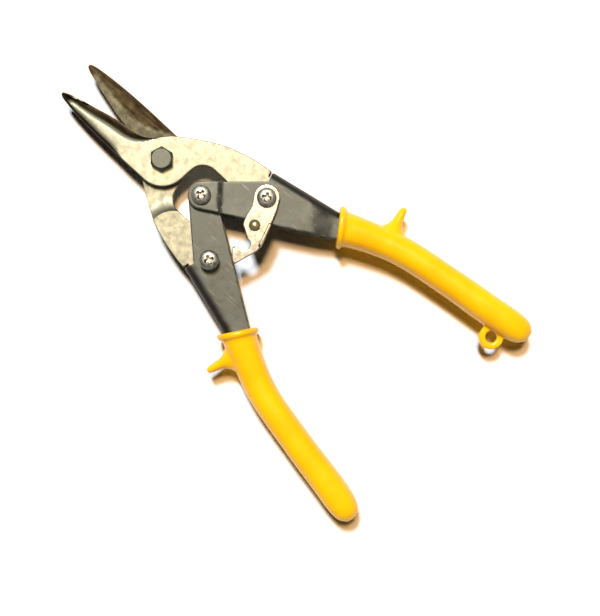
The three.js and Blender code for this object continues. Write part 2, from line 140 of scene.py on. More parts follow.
def circle(centre, radius, steps=48):
    return arc(centre, radius, 360, 0, steps)[:-1]


def dense(outline, step):
    """The closed outline with points added so that no gap is longer than step."""
    filled = []
    for a, b in zip(outline, np.roll(outline, -1, axis=0)):
        parts = max(1, math.ceil(np.linalg.norm(b - a) / step))
        filled += [a + (b - a) * k / parts for k in range(parts)]
    return np.array(filled)


def anticlockwise(loop):
    x, y = loop[:, 0], loop[:, 1]
    area = np.sum(x * np.roll(y, -1) - np.roll(x, -1) * y)
    return loop if area > 0 else loop[::-1]


def away(points, line, closed=False):
    """Each point's distance to a line of straight pieces."""
    ends = np.roll(line, -1, axis=0) if closed else line[1:]
    starts = line if closed else line[:-1]
    run = ends - starts
    square = np.maximum((run**2).sum(axis=1), 1e-12)
    best = np.full(len(points), np.inf)
    for a, d, s in zip(starts, run, square):
        t = np.clip(((points - a) @ d) / s, 0, 1)
        best = np.minimum(best, np.hypot(*(points - a - t[:, None] * d).T))
    return best


def within(points, loop):
    x, y = points[:, 0], points[:, 1]
    odd = np.zeros(len(points), bool)
    for (ax, ay), (bx, by) in zip(loop, np.roll(loop, -1, axis=0)):
        if ay != by:
            crosses = (ay > y) != (by > y)
            odd ^= crosses & (x < (bx - ax) * (y - ay) / (by - ay) + ax)
    return odd


def ease(low, high, value):
    t = np.clip((value - low) / (high - low), 0, 1)
    return t * t * (3 - 2 * t)


# ---- meshes ----
def piece(name, vertices, faces, body, slot, stands_for=(), marks=None, sharp=32):
    """Makes an object from vertices in millimetres. It rides on a body, if one is named."""
    mesh = bpy.data.meshes.new(name)
    mesh.from_pydata((np.asarray(vertices, float) * MM).tolist(), [], [list(map(int, f)) for f in faces])
    for mark, values in (marks or {}).items():
        mesh.attributes.new(mark, "FLOAT", "POINT").data.foreach_set("value", np.asarray(values, "f"))
    mesh.validate()
    shade(mesh, sharp)
    return fit(bpy.data.objects.new(name, mesh), body, slot, stands_for)


def shade(mesh, sharp):
    for polygon in mesh.polygons:
        polygon.use_smooth = True
    mesh.set_sharp_from_angle(angle=math.radians(sharp))


def fit(thing, body, slot, stands_for):
    if not thing.users_collection:
        bpy.context.scene.collection.objects.link(thing)
    if stands_for:
        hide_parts(*stands_for)
    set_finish(thing, slot)
    if body:
        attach(thing, body)
    return thing


def triangulate(loops, rings, pitch, creases=()):
    """Points and triangles of a flat region. loops[0] is its rim and the others are its holes.

    The triangles' edges also follow the creases, which may run on past the rim.
    """
    loops = [anticlockwise(loops[0])] + [anticlockwise(h)[::-1] for h in loops[1:]]

    def keep(points, margin):
        inside = within(points, loops[0])
        for loop in loops:
            inside &= away(points, loop, closed=True) >= margin
        for hole in loops[1:]:
            inside &= ~within(points, hole)
        return points[inside]

    cloud = [np.vstack(loops)]
    for loop in loops:
        along = np.roll(loop, -1, axis=0) - np.roll(loop, 1, axis=0)
        along /= np.maximum(np.linalg.norm(along, axis=1), 1e-9)[:, None]
        inward = np.stack([-along[:, 1], along[:, 0]], axis=1)
        cloud += [keep(loop + inward * ring, ring * 0.985) for ring in rings]
    low, high = loops[0].min(axis=0), loops[0].max(axis=0)
    rows = np.arange(low[1], high[1], pitch * math.sqrt(3) / 2)
    columns = np.arange(low[0], high[0], pitch)
    grid = [(x + (k % 2) * pitch / 2, y) for k, y in enumerate(rows) for x in columns]
    cloud.append(keep(np.array(grid), rings[-1] + 0.5 * pitch))

    edges, start = [], 0
    for loop in loops:
        count = len(loop)
        edges += [(start + k, start + (k + 1) % count) for k in range(count)]
        start += count
    if creases:
        clear = [np.min([away(c, line) for line in creases], axis=0) > CREASE_MARGIN for c in cloud[1:]]
        cloud = cloud[:1] + [c[chosen] for c, chosen in zip(cloud[1:], clear)]
    start = sum(len(c) for c in cloud)
    for crease in creases:
        edges += [(start + k, start + k + 1) for k in range(len(crease) - 1)]
        start += len(crease)
        cloud.append(crease)
    coords = [Vector(p) for p in np.vstack(cloud)]
    vertices, _, faces, *_ = geometry.delaunay_2d_cdt(coords, edges, [], 0, 1e-4)
    vertices = np.array([tuple(v) for v in vertices])
    faces = np.array([f for f in faces if len(f) == 3])
    middle = vertices[faces].mean(axis=1)
    inside = within(middle, loops[0])
    for hole in loops[1:]:
        inside &= ~within(middle, hole)
    used, faces = np.unique(faces[inside], return_inverse=True)
    vertices = vertices[used]
    rim = np.min([away(vertices, loop, closed=True) for loop in loops], axis=0)
    return vertices, faces.reshape(-1, 3), rim


def rims(faces):
    """The directed edges that only one face uses."""
    edges = {(a, b) for f in faces for a, b in zip(f, np.roll(f, -1))}
    return [(a, b) for a, b in edges if (b, a) not in edges]


def raised(flat, faces, high, low):
    """A solid between two heights over a triangulated region."""
    count = len(flat)
    vertices = np.vstack([np.column_stack([flat, high]), np.column_stack([flat, low])])
    sides = [(b, a, a + count, b + count) for a, b in rims(faces)]
    return vertices, [*map(tuple, faces), *map(tuple, faces[:, ::-1] + count), *sides]


def rounding(rim, radius):
    """How far a rounded edge has dropped at this distance from the rim."""
    return radius - np.sqrt(np.maximum(radius**2 - np.clip(radius - rim, 0, radius) ** 2, 0))


# ---- blades ----
# the blade whose tang goes right, seen from its outer side
EDGE = [
    (11.3, 4.2), (7.6, 7.4), (4.2, 11), (1.6, 15.6), (0.2, 21.5), (-0.6, 27.3), (-1.5, 32.8),
    (-2.8, 37.7), (-4.1, 43), (-5.6, 49), (-7.3, 54.6), (-8.8, 57.4),
]
SPINE = [
    (-9.7, 57.3), (-10.6, 55.8), (-11.3, 52.6), (-12, 47), (-12.6, 39), (-13, 29), (-13.1, 20), (-13.05, 11),
]
RIDGE = [  # where the bevel ends
    (-9.6, 57), (-10.1, 54.8), (-9.7, 50.3), (-9.2, 45), (-8.6, 40.5), (-7.7, 36), (-6.8, 31.5),
    (-6, 26.5), (-5.2, 21.2), (-3.6, 16.7), (-0.3, 12.8), (4.2, 9.6), (8.6, 6.8), (11.2, 4.4),
]
LAND = [  # between the flat of the inner face and its hollow
    (-9, 56.5), (-8.4, 54), (-7.3, 50), (-6.4, 45), (-5.3, 38), (-4.3, 31), (-3.8, 25), (-4.9, 18.5),
    (-6.6, 13.2), (-9.3, 7.6), (-12.9, 4.5),
]
CROTCH = [(-0.8, -13.1), (6.9, -13.9), (10.6, -15.9), (12.7, -19.4), (13.1, -24.5), (13, -29)]
TANG_BACK = [
    (30.6, -38.5), (29.6, -33), (27.9, -26.3), (25.3, -18.6), (21.8, -11.7), (16.7, -3.4), (11.6, 3.8),
]
HUB_R = 13
TANG_END_R = 9.5
# where a tang starts to have its full thickness
STEP = {"centre": np.array((24, -29.4)), "radius": 12.9, "fillet": 7.5}
EDGE_LAND = 1.1
TIP_TAPER = 1.3
HOLLOW_DEPTH = 0.45
SPINE_CHAMFER = {"width": 2.1, "share": 0.4}  # share of the thickness that it takes off


def blade_outline():
    return np.vstack([
        resample(spline(EDGE, 90), 90)[:-1],
        spline(SPINE, 70),
        arc(BLADE_PIVOT, HUB_R, 176, 262, 28),
        spline(CROTCH, 30)[1:],
        arc(RIGHT_PIVOT, TANG_END_R, 163, 375, 40),
        [(28.4, -42.9), (31, -42.3)],
        spline(TANG_BACK, 60)[:-1],
    ])


def blade_mesh():
    """The blade whose tang goes right, as vertices about the shear plane, faces and marks."""
    outline = dense(blade_outline(), 0.9)
    holes = [circle(BLADE_PIVOT, BOLT_HOLE_R), circle(RIGHT_PIVOT, PIN_HOLE_R)]
    creases = [arc(STEP["centre"], STEP["radius"] + out, 75, 185, 90) for out in (0, 0.4, 1.2)]
    flat, faces, rim = triangulate([outline, *holes], (0.1, 0.25, 0.5, 0.9, 1.5), 1.15, creases)
    x, y = flat.T
    edge, ridge = spline(EDGE, 120), spline(RIDGE, 120)
    to_edge, to_ridge = away(flat, edge), away(flat, ridge)
    bevelled = within(flat, np.vstack([edge, ridge[::-1]])) | (to_edge < 0.08)
    across = np.where(bevelled, to_ridge / (to_ridge + to_edge + 1e-6), 0)
    across *= ease(0.3, 4.5, np.hypot(*(flat - EDGE[0]).T))
    across *= ease(0, 1.5, np.hypot(*(flat - EDGE[-1]).T))
    hollow_grind = 1 - (1 - across**2 / (across + 0.1) * 1.1) ** 1.7
    thick = BLADE_HALF - TIP_TAPER * ease(22, 58, y)
    crown = 0.35 * ease(0, 6, np.where(y > 8, away(flat, spline(SPINE, 60)), 6))
    outer = thick - (thick - EDGE_LAND) * hollow_grind - rounding(rim, 0.45) * (1 - across)
    outer -= np.where((y > 14) & ~bevelled, (0.35 - crown) * ease(14, 22, y), 0)
    width = SPINE_CHAMFER["width"] * ease(12, 24, y) * (1 - 0.5 * ease(40, 57, y))
    chamfer = np.clip(1 - away(flat, spline(SPINE, 90)) / np.maximum(width, 0.01), 0, 1)
    outer -= chamfer * SPINE_CHAMFER["share"] * thick * ease(12, 22, y)

    land = spline(LAND, 80)
    hollowed = within(flat, np.vstack([land, spline(SPINE, 60)[::-1] + (-1, 0)]))
    depth = np.where(hollowed, ease(0, 3.2, away(flat, land)), 0)
    before = np.hypot(*(flat - STEP["centre"]).T) - STEP["radius"]
    before = np.where((flat - STEP["centre"]) @ STEP["centre"] > 0, 0, before)
    rise = np.clip(1 - before / STEP["fillet"], 0, 1) * ((x > 3) & (y < -5))
    tang = 1 - np.sqrt(1 - rise**2 * 0.998)  # a concave fillet, steepest at its top
    tang = np.where(rise > 0.9999, 1, tang)
    inner = LAP_GAP + HOLLOW_DEPTH * depth - (BLADE_HALF + LAP_GAP) * tang
    inner += rounding(rim, 0.3) * tang
    vertices, faces = raised(flat, faces, outer, inner)
    # painted shade: the outer face's bevel, spine chamfer and tip, and the inner face's hollow and tip, are
    # marked to be painted dark, with a little on all of the inner face
    shade_outer = np.max([ease(0.02, 0.6, across), ease(0, 0.5, chamfer), ease(47, 55, y)], axis=0)
    shade_inner = 0.3 + 0.7 * np.maximum(depth, ease(50, 56, y))
    # the lap is scuffed where the blades rub; where it shows, round the top blade's hub and on the jaws'
    # inner faces, its dark is painted shade
    lap = np.where(y > 0, 1, ease(16, 12.5, np.hypot(x, y)))
    marks = {
        "rim": np.tile(rim, 2),
        "painted_shade": np.concatenate([shade_outer, shade_inner]),
        "lap": np.concatenate([np.zeros(len(flat)), lap]),
    }
    return vertices, faces, marks


def blades():
    vertices, faces, marks = blade_mesh()
    for name, turn in (("top_blade", 1), ("bottom_blade", -1)):
        turned = vertices * (turn, 1, turn) + (0, 0, SHEAR)
        piece(f"{name}_forging", turned, faces, name, "blade_steel", [name], marks, sharp=38)


# ---- handles ----
GRIP_AXIS = [(34.4, -82.7), (41.7, -98.4), (47.7, -115.4), (52.6, -142), (56.1, -165), (59.8, -185)]
TAIL_LEAN = {"right": 1.1, "left": 1.8}  # degrees
COLLAR_TURN = {"right": 12, "left": 9}  # degrees by which the collar leans from square across the grip
TURN_FADES = 0.13  # share of the axis over which the sections come square again
TAIL_END = 0.86
EAR_R = 6.5
# the right handle's walls drop from its ears, and again before its grip, this far from the centre screw
EAR_LIFT = {"height": 1.4, "from": 8, "to": 9.6}
STEP_IN = {"height": 2.2, "from": 51.5, "to": 64}
FOLD = 4.8  # how far the rounded back of the channel reaches in from its outline
SIDES = {"right": 1, "left": -1}


def grip_axis(side, count=200):
    """The grip's centreline, drawn as if it were the right one; the left one is mirrored afterwards."""
    lean = math.radians(-TAIL_LEAN[side] * SIDES[side])
    turn = np.array([[math.cos(lean), math.sin(lean)], [-math.sin(lean), math.cos(lean)]])
    return spline((np.array(GRIP_AXIS) - CENTRE_PIVOT) @ turn + CENTRE_PIVOT, count)


def frames_along(line):
    """Unit vectors along the line and out to its right-hand side, away from the other handle."""
    ahead = np.gradient(line, axis=0)
    ahead /= np.linalg.norm(ahead, axis=1)[:, None]
    return ahead, np.stack([-ahead[:, 1], ahead[:, 0]], axis=1)


def tail_half(share):
    return np.interp(share, [0, 0.22, 1], [6.3, 4.3, 4.3])


def handle_lines(side):
    line = grip_axis(side)
    share = np.linspace(0, 1, len(line))
    _, outward = frames_along(line)
    steel = share <= TAIL_END
    half = tail_half(share)[:, None]
    outer = (line + outward * half)[steel]
    inner = (line - outward * half)[steel]
    back = np.vstack([[(31.4, -43.2)], outer])
    rim = np.vstack([
        back[::-1],
        [(29.6, -43.6), (26.4, -44.9)],
        arc(CENTRE_PIVOT, EAR_R, 42, 213, 40),
        inner,
    ])
    return rim, back


def channel(side):
    """A stamped U-shaped handle: half of it as a pressed sheet, then both halves joined at the middle."""
    rim_line, back = handle_lines(side)
    holes = [circle(RIGHT_PIVOT, PIN_HOLE_R), circle(CENTRE_PIVOT, PIN_HOLE_R)]
    rings = (0.06, 0.16, 0.32, 0.6, 1, 1.5, SHEET + 0.01, 2.4, 3.1, 3.9, 4.8)
    flat, faces, rim = triangulate([dense(anticlockwise(rim_line), 1), *holes], rings, 1.5)
    to_back = away(flat, resample(back, 90))
    along = RIGHT_PIVOT - CENTRE_PIVOT
    run = (flat - CENTRE_PIVOT) @ (along / np.linalg.norm(along))
    height = span(f"{side}_handle")[1][2] - SHEAR
    if side == "right":
        for change in (EAR_LIFT, STEP_IN):
            height = height - change["height"] * ease(change["from"], change["to"], run)
    square = 2.5
    outside = (1 - (1 - np.clip(to_back / FOLD, 0, 1)) ** square) ** (1 / square)
    inner_share = np.clip((to_back - SHEET) / (FOLD - SHEET), 0, 1)
    inside = (1 - (1 - inner_share) ** 2) ** 0.5
    edge = rim_to_cut(flat, rim_line, back)
    high = height * outside - rounding(edge, 0.5) * outside
    low = (height - SHEET) * inside + rounding(edge, 0.2) * ease(SHEET, FOLD, to_back)
    vertices, faces = raised(flat, faces, np.maximum(high, 0), np.minimum(low, high))
    return mirrored_shell(vertices, faces, {"rim": np.tile(edge, 2), "fold": np.tile(to_back, 2)})


def rim_to_cut(flat, rim_line, back):
    """Distance to the sheet's cut edges, which are all of its outline except the folded back."""
    return away(flat, np.vstack([rim_line[len(back) - 1:], rim_line[:1]]))


def mirrored_shell(vertices, faces, marks):
    """The half and its mirror image below the middle, without the faces between them."""
    level = np.abs(vertices[:, 2]) < 1e-4
    faces = [f for f in faces if not all(level[list(f)])]
    count = len(vertices)
    both = np.vstack([vertices, vertices * (1, 1, -1)])
    faces = faces + [tuple(v + count for v in f[::-1]) for f in faces]
    return both, faces, {name: np.tile(values, 2) for name, values in marks.items()}


def handles():
    for side, sign in SIDES.items():
        vertices, faces, marks = channel(side)
        vertices = vertices * (sign, 1, 1) + (0, 0, SHEAR)
        if sign < 0:
            faces = [f[::-1] for f in faces]
        body = f"{side}_handle"
        made = piece(f"{side}_channel", vertices, faces, body, "dark_steel", [body], marks, sharp=40)
        weld(made.data)


def weld(mesh):
    work = bmesh.new()
    work.from_mesh(mesh)
    bmesh.ops.remove_doubles(work, verts=work.verts, dist=1e-6)
    bmesh.ops.dissolve_degenerate(work, edges=work.edges, dist=1e-7)
    work.to_mesh(mesh)
    work.free()
    shade(mesh, 40)


# ---- grips ----
COLLAR_HALF = (10.2, SHEAR)
SECTIONS = np.array([  # share of the axis, half width, half thickness
    (0, 9.5, SHEAR - 0.7), (0.006, *COLLAR_HALF), (0.02, *COLLAR_HALF), (0.027, 9.6, SHEAR - 0.7),
    (0.034, 8.4, 11.4), (0.05, 8.2, 11.1), (0.12, 7.7, 10.6), (0.22, 7.3, 10), (0.38, 7.1, 9.7),
    (0.55, 7.1, 9.6), (0.72, 7.3, 9.7), (0.86, 7.4, 9.6), (0.92, 7.1, 9.2), (0.96, 6.3, 8.2),
    (0.985, 4.9, 6.6), (1, 2.2, 3.4),
])
# share of the axis, reach, lean to the tail, flare at the root
GUARDS = {"right": (0.23, 19.5, 1.8, 1), "left": (0.1, 20, 2.4, 1.28)}
GUARD_SECTIONS = np.array([  # share of the reach, half width, half thickness
    (0, 9, 7.4), (0.32, 7.6, 6.8), (0.37, 6.2, 6.5), (0.42, 5, 6.2), (0.5, 3.7, 5.6), (0.6, 2.8, 5),
    (0.78, 2.15, 4.2), (0.94, 1.75, 3.4), (0.98, 1.4, 2.8), (1, 0.8, 2),
])
LOOP = {"share": 0.862, "inner": 2.8, "outer": 5.9, "half": 1.9, "reach": 10.1}


def rounded_section(count, squareness):
    """Unit outline of a rounded oblong section."""
    angles = 2 * np.pi * (np.arange(count) + 0.5) / count
    c, s = np.cos(angles), np.sin(angles)
    reach = (np.abs(c) ** squareness + np.abs(s) ** squareness) ** (-1 / squareness)
    return c * reach, s * reach


def tube(sections):
    """A closed skin over sections that are arrays of equally many points."""
    count = len(sections[0])
    faces = []
    for s in range(len(sections) - 1):
        for k in range(count):
            a, b = s * count + k, s * count + (k + 1) % count
            faces.append((a, b, b + count, a + count))
    faces += [tuple(range(count))[::-1], tuple(range((len(sections) - 1) * count, len(sections) * count))]
    return np.vstack(sections), faces


def grip_body(side):
    line = grip_axis(side, 400)
    _, outward = frames_along(line)
    stretches = ((0, 0.05, 26), (0.05, 0.9, 90), (0.9, 1, 36))
    shares = np.unique(np.concatenate([np.linspace(*stretch) for stretch in stretches]))
    wide = smooth_table(shares, 1)
    thick = smooth_table(shares, 2)
    c, s = rounded_section(56, 2.5)
    whole = np.linspace(0, 1, len(line))
    sections = []
    for share, w, t in zip(shares, wide, thick):
        turn = math.radians(COLLAR_TURN[side] * max(0, 1 - share / TURN_FADES))
        out = [np.interp(share, whole, outward[:, k]) for k in range(2)]
        across = np.array([out[0] * math.cos(turn) - out[1] * math.sin(turn),
                           out[0] * math.sin(turn) + out[1] * math.cos(turn)])
        middle = [np.interp(share, whole, line[:, k]) for k in range(2)]
        sections.append(np.column_stack([middle + across * (w * c)[:, None], t * s]))
    return tube(sections)


def smooth_table(shares, column):
    """The grip's half width or thickness, rounded off between the stated sections."""
    fine = np.linspace(0, 1, 1201)
    values = np.interp(fine, SECTIONS[:, 0], SECTIONS[:, column])
    kernel = np.hanning(61)
    soft = np.convolve(np.pad(values, 30, mode="edge"), kernel / kernel.sum(), "valid")
    settled = ease(0.06, 0.1, fine)
    return np.interp(shares, fine, values * (1 - settled) + soft * settled)


def guard(side):
    share, reach, back, flare = GUARDS[side]
    line = grip_axis(side)
    ahead, outward = frames_along(line)
    k = round(share * (len(line) - 1))
    tip = outward[k] * reach + ahead[k] * back
    c, s = rounded_section(32, 2.2)
    sections = []
    for at in np.linspace(0, 1, 28):
        wide = np.interp(at, GUARD_SECTIONS[:, 0], GUARD_SECTIONS[:, 1])
        wide *= 1 + (flare - 1) * max(0, 1 - at / 0.6)
        thick = np.interp(at, GUARD_SECTIONS[:, 0], GUARD_SECTIONS[:, 2])
        flat = line[k] + tip * at + ahead[k] * (wide * c)[:, None]
        sections.append(np.column_stack([flat, thick * s]))
    return tube(sections)


def hang_loop():
    line = grip_axis("right")
    _, outward = frames_along(line)
    k = round(LOOP["share"] * (len(line) - 1))
    centre = line[k] - outward[k] * LOOP["reach"]
    profile = [(LOOP["inner"], -LOOP["half"]), (LOOP["outer"], -LOOP["half"]),
               (LOOP["outer"], LOOP["half"]), (LOOP["inner"], LOOP["half"])]
    return hoop(profile, centre, 48)


def hoop(profile, centre, steps):
    """A ring turned from a closed outline of [radius, height] pairs."""
    vertices, faces, count = [], [], len(profile)
    for i in range(steps):
        angle = 2 * math.pi * i / steps
        c, s = math.cos(angle), math.sin(angle)
        vertices += [(centre[0] + r * c, centre[1] + r * s, z) for r, z in profile]
        for k in range(count):
            a, b = count * i + k, count * i + (k + 1) % count
            faces.append((a, (a + count) % (count * steps), (b + count) % (count * steps), b))
    return np.array(vertices), faces


def merged(parts):
    vertices, faces, start = [], [], 0
    for points, polygons in parts:
        vertices.append(points)
        faces += [tuple(v + start for v in f) for f in polygons]
        start += len(points)
    return np.vstack(vertices), faces


def applied(thing, *modifiers):
    """Runs modifiers, each a type and its settings, and keeps the result as the thing's mesh."""
    for kind, settings in modifiers:
        modifier = thing.modifiers.new(kind, kind)
        for key, value in settings.items():
            setattr(modifier, key, value)
    bpy.context.view_layer.update()
    made = bpy.data.meshes.new_from_object(thing.evaluated_get(bpy.context.evaluated_depsgraph_get()))
    thing.modifiers.clear()
    thing.data = made
    return thing


def moulded(name, parts, voxel=0.55, passes=6):
    """Parts melted into one skin, with soft fillets where they meet."""
    thing = bare(name, *merged(parts))
    applied(
        thing,
        ("REMESH", {"mode": "VOXEL", "voxel_size": voxel * MM, "use_smooth_shade": True}),
        ("SMOOTH", {"factor": 0.5, "iterations": passes}),
    )
    shade(thing.data, 60)
    return thing


def grips():
    for side, sign in SIDES.items():
        parts = [grip_body(side), guard(side)] + ([hang_loop()] if side == "right" else [])
        placed = []
        for vertices, faces in parts:
            faces = faces if sign > 0 else [f[::-1] for f in faces]
            placed.append((vertices * (sign, 1, 1) + (0, 0, SHEAR), faces))
        thing = moulded(f"{side}_grip_sleeve", placed)
        fit(thing, f"{side}_handle", "grip_pvc", [f"{side}_grip"])


# ---- latch ----
LATCH = {"low": span("latch")[0][2] - SHEAR, "sheet": 1.5, "notch": 2.9}
CAUGHT_SCREW = (-3.41, -56.76)  # where the left tang screw stands when the latch holds the handles shut


def latch_rim():
    x, y = CAUGHT_SCREW
    notch = LATCH["notch"]
    hook = [
        (x - notch - 0.2, y + 1.4), (x - notch - 0.7, y + 2.6), (x - notch - 1.6, y + 3.1),
        (x - notch - 2.5, y + 2.8), (-11, -55.8), (-13.3, -58.4), (-13.4, -59.2), (-12.9, -59.8),
    ]
    return np.vstack([
        arc(RIGHT_PIVOT, 6.2, -58, 118, 30),
        [(12.4, -47.1), (8.6, -48), (5.4, -48.8), (4, -49.3), (3.1, -50), (2.6, -50.8), (1.2, -53.4)],
        arc(CAUGHT_SCREW, notch, 12, -168, 20),
        spline(hook, 24)[1:],
        [(-1.6, -63.4), (0.4, -63.3), (12.8, -59.5), (18, -57.6)],
    ])


def latch():
    stud = {"centre": np.array((6.5, -54.3)), "radius": 2.8, "height": 1.15}
    creases = [arc(stud["centre"], stud["radius"] * share, 0, 360, 40) for share in (1, 0.85)]
    loops = [dense(latch_rim(), 0.5), circle(RIGHT_PIVOT, PIN_HOLE_R)]
    flat, faces, rim = triangulate(loops, (0.08, 0.2, 0.4, 0.7), 0.55, creases)
    out = np.hypot(*(flat - stud["centre"]).T) / stud["radius"]
    bump = stud["height"] * np.clip(1 - out**2, 0, 1) ** 0.8
    low = LATCH["low"]
    high = low + LATCH["sheet"] + bump - rounding(rim, 0.35)
    dent = np.maximum(bump - 0.3, 0)
    plate = raised(flat, faces, high, low + 0.8 * dent + rounding(rim, 0.2))
    vertices, faces = merged([plate, thumb_tab()])
    lip_top = vertices[2 * len(rim):, 2] > low + 1.95
    # the rim mark paints shade on the plate's edges and on the thumb tab's sides
    marks = {
        "rim": np.concatenate([np.tile(rim, 2), lip_top]),
        # the stud mark carries a painted warm reflection on the dome and, at 0.4, on the tab's top
        "stud": np.concatenate([np.tile(ease(0.02, 0.6, bump), 2), 0.4 * lip_top]),
    }
    piece("latch_plate", vertices + (0, 0, SHEAR), faces, "latch", "zinc_plate", ["latch"], marks)


def thumb_tab():
    """The lip bent up along the latch's outer edge, to push it with."""
    start, end = np.array((0.6, -62.9)), np.array((12.7, -59.2))
    ahead = (end - start) / np.linalg.norm(end - start)
    side = np.array([-ahead[1], ahead[0]])
    sections = []
    for share in np.linspace(0, 1, 25):
        centre = start + (end - start) * share
        ends = min(share, 1 - share) * 12
        height = 4.25 - 2.2 * (1 - min(1, ends) ** 0.6)
        profile = [
            (-0.65, 0.25), (-0.65, height - 0.5), (-0.45, height - 0.1), (0, height), (0.45, height - 0.1),
            (0.65, height - 0.5), (0.65, 1.9), (0.95, 1.55), (0.95, 0.25),
        ]
        sections.append(np.array([[*(centre + side * across), LATCH["low"] + up] for across, up in profile]))
    return tube(sections)


# ---- fasteners ----
def lathe(profile, centre, steps=64):
    """A solid turned from [radius, height] pairs that start and end on the axis."""
    rings = np.array(profile[1:-1], float)
    angles = np.linspace(0, 2 * np.pi, steps, endpoint=False)
    vertices = [(centre[0] + r * math.cos(a), centre[1] + r * math.sin(a), z)
                for r, z in rings for a in angles]
    vertices += [(*centre, profile[0][1]), (*centre, profile[-1][1])]
    bottom, top = len(vertices) - 2, len(vertices) - 1
    faces = []
    last = (len(rings) - 1) * steps
    for k in range(steps):
        n = (k + 1) % steps
        faces += [(i + k, i + n, i + steps + n, i + steps + k) for i in range(0, last, steps)]
        faces.append((bottom, n, k))
        faces.append((top, last + k, last + n))
    return np.array(vertices), faces


def bare(name, vertices, faces):
    """An object without a body or a slot yet."""
    mesh = bpy.data.meshes.new(name)
    mesh.from_pydata((np.asarray(vertices, float) * MM).tolist(), [], [list(map(int, f)) for f in faces])
    thing = bpy.data.objects.new(name, mesh)
    bpy.context.scene.collection.objects.link(thing)
    return thing


def combine(thing, operation, *others):
    for other in others:
        applied(thing, ("BOOLEAN", {"operation": operation, "solver": "EXACT", "object": other}))
        bpy.data.objects.remove(other)


HEAD_R = 4.65
HEAD_H = 2.3
SHANK_R = 2.6
BOLT = {"flats": 10, "turn": 41, "head": 4, "shank": 3.5}
NUT_FLATS = 8
TRIM = {"in": 1.25, "down": 0.75}  # how much a hexagon's corners are turned off


def recess_arm(name, centre, top, angle):
    """Two opposite arms of a cross recess: a slot that narrows as it goes down."""
    ahead = np.array([math.cos(angle), math.sin(angle)])
    side = np.array([-ahead[1], ahead[0]])
    corners = []
    for half, wide, height in ((1.4, 0.5, top - 1.8), (3.1, 0.92, top + 1)):
        corners += [[*(np.array(centre) + ahead * half * i + side * wide * j), height]
                    for i, j in ((-1, -1), (1, -1), (1, 1), (-1, 1))]
    faces = [(3, 2, 1, 0), (4, 5, 6, 7), (0, 1, 5, 4), (1, 2, 6, 5), (2, 3, 7, 6), (3, 0, 4, 7)]
    return bare(name, corners, faces)


def cross_screw(node, body, centre, turn):
    low, high = span(node)
    foot, top = low[2], high[2]
    seat = top - HEAD_H
    side = 0.75  # height of the head below its dome
    dome = [(HEAD_R * math.sin(a) ** 0.75, seat + side + (HEAD_H - side) * math.cos(a))
            for a in np.radians(np.arange(84, 2, -6))]
    shank = [(0, foot), (SHANK_R - 0.5, foot), (SHANK_R, foot + 0.5), (SHANK_R, seat)]
    profile = [*shank, (HEAD_R - 0.15, seat), (HEAD_R, seat + 0.15), *dome, (0, top)]
    screw = bare(f"{node}_body", *lathe(profile, centre))
    arms = [recess_arm(f"arm_{k}", centre, top, turn + k * math.pi / 2) for k in range(2)]
    combine(screw, "DIFFERENCE", *arms)
    finish_part(screw, body, "fastener_steel", node)


def finish_part(thing, body, slot, node, bevel=0.12, sharp=35):
    settings = {"width": bevel * MM, "segments": 2, "limit_method": "ANGLE", "angle_limit": 0.6}
    applied(thing, ("BEVEL", settings))
    shade(thing.data, sharp)
    fit(thing, body, slot, [node])


def prism(corners, low, high):
    count = len(corners)
    vertices = np.vstack([np.column_stack([corners, np.full(count, height)]) for height in (low, high)])
    sides = [(k, (k + 1) % count, (k + 1) % count + count, k + count) for k in range(count)]
    return vertices, [tuple(range(count))[::-1], tuple(range(count, 2 * count)), *sides]


def hexagon(name, centre, flats, turn, low, high, trims):
    """A hexagonal prism whose corners are turned off at the stated ends."""
    radius = flats / math.sqrt(3)
    corners = arc(centre, radius, turn, turn + 360, 6)[:-1]
    made = bare(name, *prism(corners, low, high))
    inside, outside = radius - TRIM["in"], radius + 0.1
    bottom = [(inside, low), (outside, low + TRIM["down"])] if "low" in trims else [(outside, low)]
    top = [(outside, high - TRIM["down"]), (inside, high)] if "high" in trims else [(outside, high)]
    turned = bare(f"{name}_turned", *lathe([(0, low), *bottom, *top, (0, high)], centre, 96))
    combine(made, "INTERSECT", turned)
    return made


def hex_bolt():
    low, high = span("pivot_bolt")
    foot, radius, seat = low[2], BOLT["shank"], high[2] - BOLT["head"]
    head = hexagon("hex_bolt", BLADE_PIVOT, BOLT["flats"], BOLT["turn"], seat, high[2], ("high",))
    profile = [(0, foot), (radius - 0.6, foot), (radius, foot + 0.7), (radius, seat + 1), (0, seat + 1)]
    combine(head, "UNION", bare("shank", *lathe(profile, BLADE_PIVOT)))
    finish_part(head, "top_blade", "fastener_steel", "pivot_bolt", bevel=0.08, sharp=22)


def nut(node, body, centre, flats, bore, turn):
    low, high = span(node)
    made = hexagon(f"{node}_hex", centre, flats, turn, low[2], high[2], ("low", "high"))
    foot, top = low[2] - 1, high[2] + 1
    profile = [(0, foot), (bore, foot), (bore, top), (0, top)]
    combine(made, "DIFFERENCE", bare("bore", *lathe(profile, centre)))
    finish_part(made, body, "fastener_steel", node, bevel=0.1)


def ring_part(node, body, centre):
    """A washer, spacer or sleeve with the CAD node's own bore and outside."""
    low, high = span(node)
    outer = (high[0] - low[0]) / 2
    inner = np.min(np.hypot(*(node_points(node)[:, :2] - centre).T))
    foot, top = low[2], high[2]
    edge = min(0.18, (top - foot) / 4)
    profile = [
        (inner, foot + edge), (inner + edge, foot), (outer - edge, foot), (outer, foot + edge),
        (outer, top - edge), (outer - edge, top), (inner + edge, top), (inner, top - edge),
    ]
    piece(f"{node}_ring", *hoop(profile, centre, 64), body, "zinc_plate", [node], sharp=30)


def node_points(node):
    """A CAD node's vertices, in millimetres."""
    mesh = frame["nodes"][node].data
    points = np.empty(len(mesh.vertices) * 3)
    mesh.vertices.foreach_get("co", points)
    return points.reshape(-1, 3) / MM


